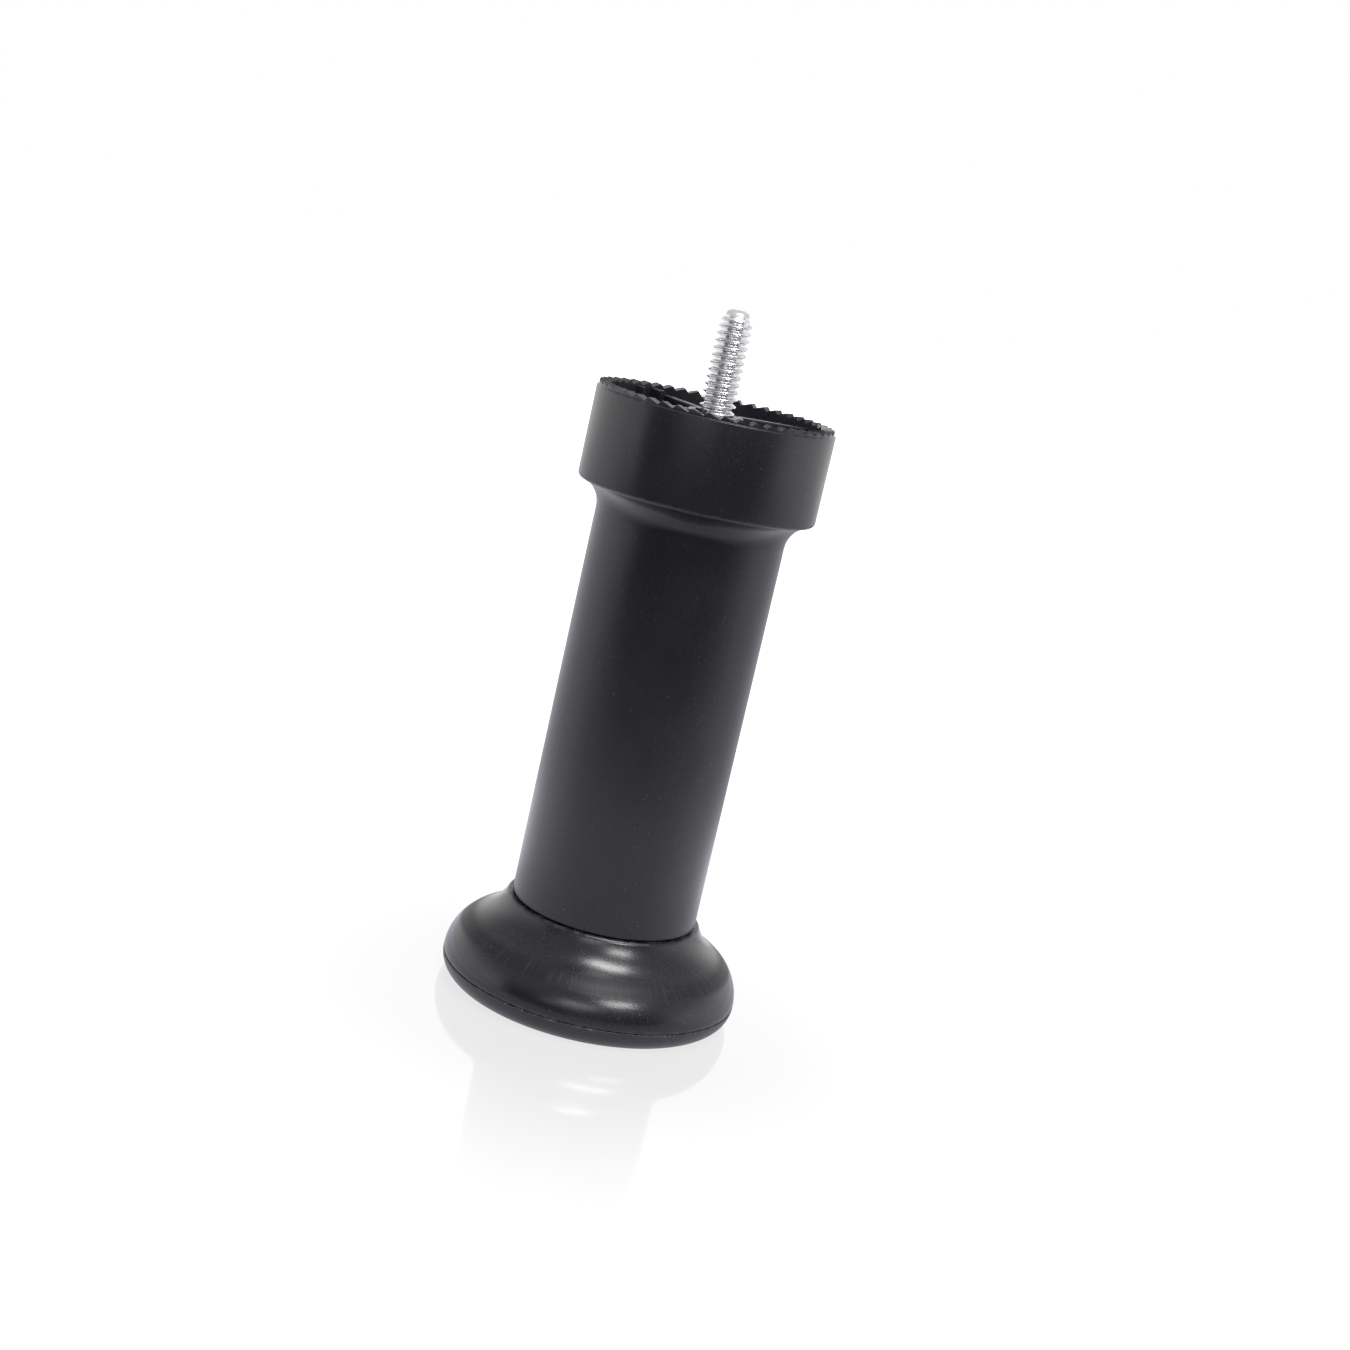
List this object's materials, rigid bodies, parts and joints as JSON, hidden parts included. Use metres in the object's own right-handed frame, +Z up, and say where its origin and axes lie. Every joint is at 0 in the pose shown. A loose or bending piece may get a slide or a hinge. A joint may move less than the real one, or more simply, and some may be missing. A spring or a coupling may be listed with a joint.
{
  "type": "furniture leveling foot",
  "caption": "Round plastic furniture leg with a toothed collar and a fixed threaded stud on top, standing on a flared foot that screws in and out to set the height.",
  "frame": {"origin": "centre of the sole's underside, on the floor", "axes": "+Z up along the leg's axis, towards the stud; +X and +Y level"},
  "size_m": [0.0544, 0.0544, 0.1271],
  "materials": {
    "leg_plastic": "black, smooth satin moulding",
    "stud_steel": "bright zinc-plated steel",
    "foot_plastic": "black, semi-gloss moulding",
    "sole_plastic": "black, satin moulding"
  },
  "bodies": {
    "leg": {"leg_tube": "leg_plastic", "mounting_stud": "stud_steel"},
    "sole": {"foot_sole": "sole_plastic"},
    "foot": {"leveling_foot": "foot_plastic"}
  },
  "joints": [
    {"name": "foot_lift", "type": "slide", "parent": "leg", "child": "sole", "axis": [0, 0, -1], "range_m": [0, 0.012]},
    {"name": "foot_turn", "type": "hinge", "parent": "sole", "child": "foot", "pos_m": [0, 0, 0.0168], "axis": [0, 0, -1], "range_deg": [0, 1080]}
  ],
  "couplings": [
    {"joint": "foot_turn", "follows": "foot_lift", "rad_per_m": 1570.8}
  ]
}
